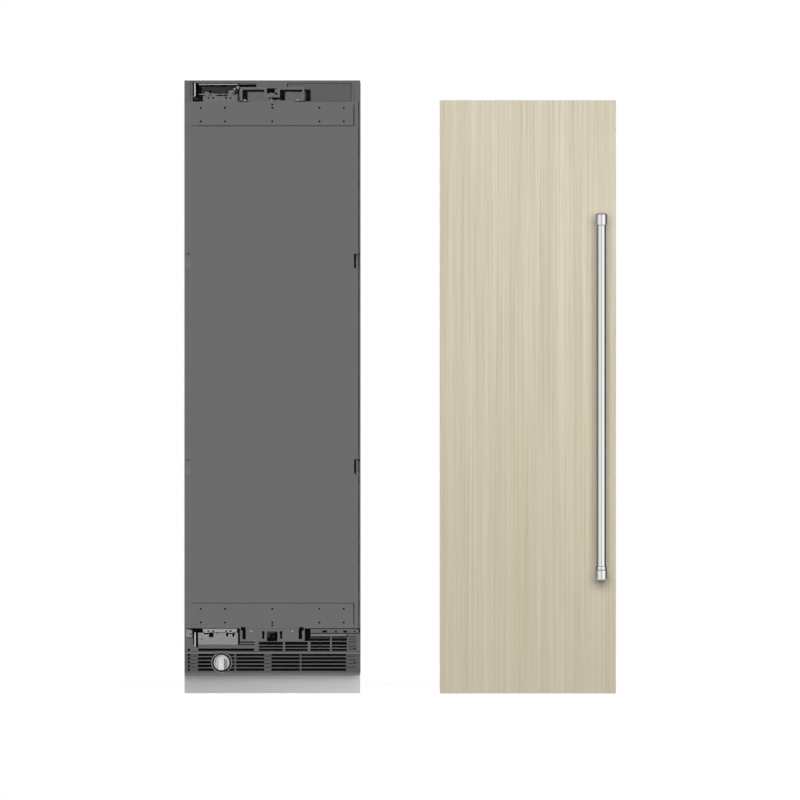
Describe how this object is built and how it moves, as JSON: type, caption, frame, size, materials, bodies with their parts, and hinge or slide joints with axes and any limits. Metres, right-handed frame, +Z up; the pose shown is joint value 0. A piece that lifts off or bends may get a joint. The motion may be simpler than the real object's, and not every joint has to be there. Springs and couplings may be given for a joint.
{
  "type": "column freezer",
  "caption": "Tall panel-ready column freezer with a left-hinged door, drawers, ice maker and louvred base, with its wooden door panel and bar handle standing beside it.",
  "frame": {"origin": "on the floor, at the middle of the toe kick's underside, in the cabinet's front plane", "axes": "+Z up, +X to the right seen from the front, +Y towards the back; the front faces -Y"},
  "size_m": [1.4825, 0.6828, 2.107],
  "materials": {
    "brushed_steel": "brushed stainless steel",
    "bright_steel": "bright brushed stainless steel",
    "hinge_steel": "plated pressed steel",
    "zinc_sheet": "galvanised sheet",
    "case_paint": "satin grey paint",
    "coil_metal": "bare aluminium",
    "compressor_black": "gloss black paint",
    "black_plastic": "moulded, fine texture",
    "fan_plastic": "moulded, smooth",
    "white_plastic": "vacuum-formed, satin white",
    "clear_plastic": "clear moulded",
    "shelf_glass": "clear toughened glass",
    "roller_tyre": "moulded",
    "soft_seal": "soft grey seal",
    "foam": "blown foam",
    "oak": "pale open-grain veneer, matt lacquer"
  },
  "bodies": {
    "cabinet": {"cabinet_shell": "case_paint", "back_panel": "zinc_sheet", "foam_insulation": "foam", "inner_liner": "white_plastic", "face_frame": "brushed_steel", "top_fascia": "brushed_steel", "blank_hinge_cover": "brushed_steel", "upper_hinge_plate": "hinge_steel", "lower_hinge_plate": "hinge_steel", "upper_hinge_arm": "bright_steel", "lower_hinge_arm": "bright_steel", "base_pan": "zinc_sheet", "toe_kick": "brushed_steel", "lower_grille": "brushed_steel", "base_fascia": "brushed_steel", "filter_housing": "black_plastic", "condenser": "coil_metal", "condenser_fan_shroud": "black_plastic", "compressor": "compressor_black", "drain_pan": "black_plastic", "evaporator": "coil_metal", "evaporator_cover": "white_plastic", "control_panel": "black_plastic", "ceiling_light": "clear_plastic", "drawer_rail_left": "white_plastic", "drawer_rail_right": "white_plastic", "shelf_lower": "shelf_glass", "shelf_middle": "shelf_glass", "shelf_upper": "shelf_glass", "ice_maker": "white_plastic"},
    "door": {"door_pan": "brushed_steel", "door_insulation": "foam", "door_liner": "white_plastic", "door_gasket": "soft_seal", "upper_mounting_plate": "brushed_steel", "lower_mounting_plate": "brushed_steel", "upper_panel_bracket": "brushed_steel", "lower_panel_bracket": "brushed_steel", "upper_hinge_leaf": "hinge_steel", "lower_hinge_leaf": "hinge_steel", "door_bin_lower": "clear_plastic", "door_bin_middle": "clear_plastic", "door_bin_upper": "clear_plastic"},
    "lower_drawer": {"drawer_lower": "clear_plastic"},
    "middle_drawer": {"drawer_middle": "clear_plastic"},
    "upper_drawer": {"drawer_upper": "clear_plastic"},
    "ice_bucket": {"ice_bin": "clear_plastic"},
    "feeler_arm": {"ice_maker_arm": "bright_steel"},
    "filter_cartridge": {"water_filter": "white_plastic"},
    "filter_lock": {"filter_knob": "bright_steel"},
    "condenser_rotor": {"condenser_fan": "fan_plastic"},
    "evaporator_rotor": {"evaporator_fan": "fan_plastic"},
    "left_foot": {"front_foot_left": "bright_steel"},
    "right_foot": {"front_foot_right": "bright_steel"},
    "left_roller": {"rear_roller_left": "roller_tyre"},
    "right_roller": {"rear_roller_right": "roller_tyre"},
    "door_panel": {"wood_panel": "oak", "handle_end_upper": "bright_steel", "handle_end_lower": "bright_steel", "handle_bar": "bright_steel"}
  },
  "joints": [
    {"name": "door_swing", "type": "hinge", "parent": "cabinet", "child": "door", "pos_m": [-0.29, -0.033, 1.1285], "axis": [0, 0, -1], "range_deg": [0, 115]},
    {"name": "lower_drawer_slide", "type": "slide", "parent": "cabinet", "child": "lower_drawer", "axis": [0, -1, 0], "range_m": [0, 0.2]},
    {"name": "middle_drawer_slide", "type": "slide", "parent": "cabinet", "child": "middle_drawer", "axis": [0, -1, 0], "range_m": [0, 0.2]},
    {"name": "upper_drawer_slide", "type": "slide", "parent": "cabinet", "child": "upper_drawer", "axis": [0, -1, 0], "range_m": [0, 0.2]},
    {"name": "ice_bin_slide", "type": "slide", "parent": "cabinet", "child": "ice_bucket", "axis": [0, -1, 0], "range_m": [0, 0.2]},
    {"name": "ice_arm_lift", "type": "hinge", "parent": "cabinet", "child": "feeler_arm", "pos_m": [-0.0837, 0.164, 1.879], "axis": [0, -1, 0], "range_deg": [0, 35]},
    {"name": "filter_slide", "type": "slide", "parent": "cabinet", "child": "filter_cartridge", "axis": [0, -1, 0], "range_m": [0, 0.22]},
    {"name": "filter_turn", "type": "hinge", "parent": "filter_cartridge", "child": "filter_lock", "pos_m": [-0.174, -0.0323, 0.1059], "axis": [0, -1, 0], "range_deg": [0, 90]},
    {"name": "condenser_fan_spin", "type": "hinge", "parent": "cabinet", "child": "condenser_rotor", "pos_m": [0.076, 0.1373, 0.1356], "axis": [0, -1, 0], "continuous": true},
    {"name": "evaporator_fan_spin", "type": "hinge", "parent": "cabinet", "child": "evaporator_rotor", "pos_m": [0, 0.4157, 1.1233], "axis": [0, -1, 0], "continuous": true},
    {"name": "left_foot_adjust", "type": "slide", "parent": "cabinet", "child": "left_foot", "axis": [0, 0, -1], "range_m": [0, 0.025]},
    {"name": "right_foot_adjust", "type": "slide", "parent": "cabinet", "child": "right_foot", "axis": [0, 0, -1], "range_m": [0, 0.025]},
    {"name": "left_roller_spin", "type": "hinge", "parent": "cabinet", "child": "left_roller", "pos_m": [-0.257, 0.497, 0.024], "axis": [1, 0, 0], "continuous": true},
    {"name": "right_roller_spin", "type": "hinge", "parent": "cabinet", "child": "right_roller", "pos_m": [0.257, 0.497, 0.024], "axis": [1, 0, 0], "continuous": true},
    {"name": "panel_lift", "type": "slide", "parent": "cabinet", "child": "door_panel", "axis": [0, 0, 1], "range_m": [0, 0.069]}
  ],
  "couplings": [
    {"joint": "lower_drawer_slide", "follows": "door_swing", "m_per_rad": 0.095},
    {"joint": "middle_drawer_slide", "follows": "door_swing", "m_per_rad": 0.095},
    {"joint": "upper_drawer_slide", "follows": "door_swing", "m_per_rad": 0.095},
    {"joint": "ice_bin_slide", "follows": "door_swing", "m_per_rad": 0.095}
  ]
}
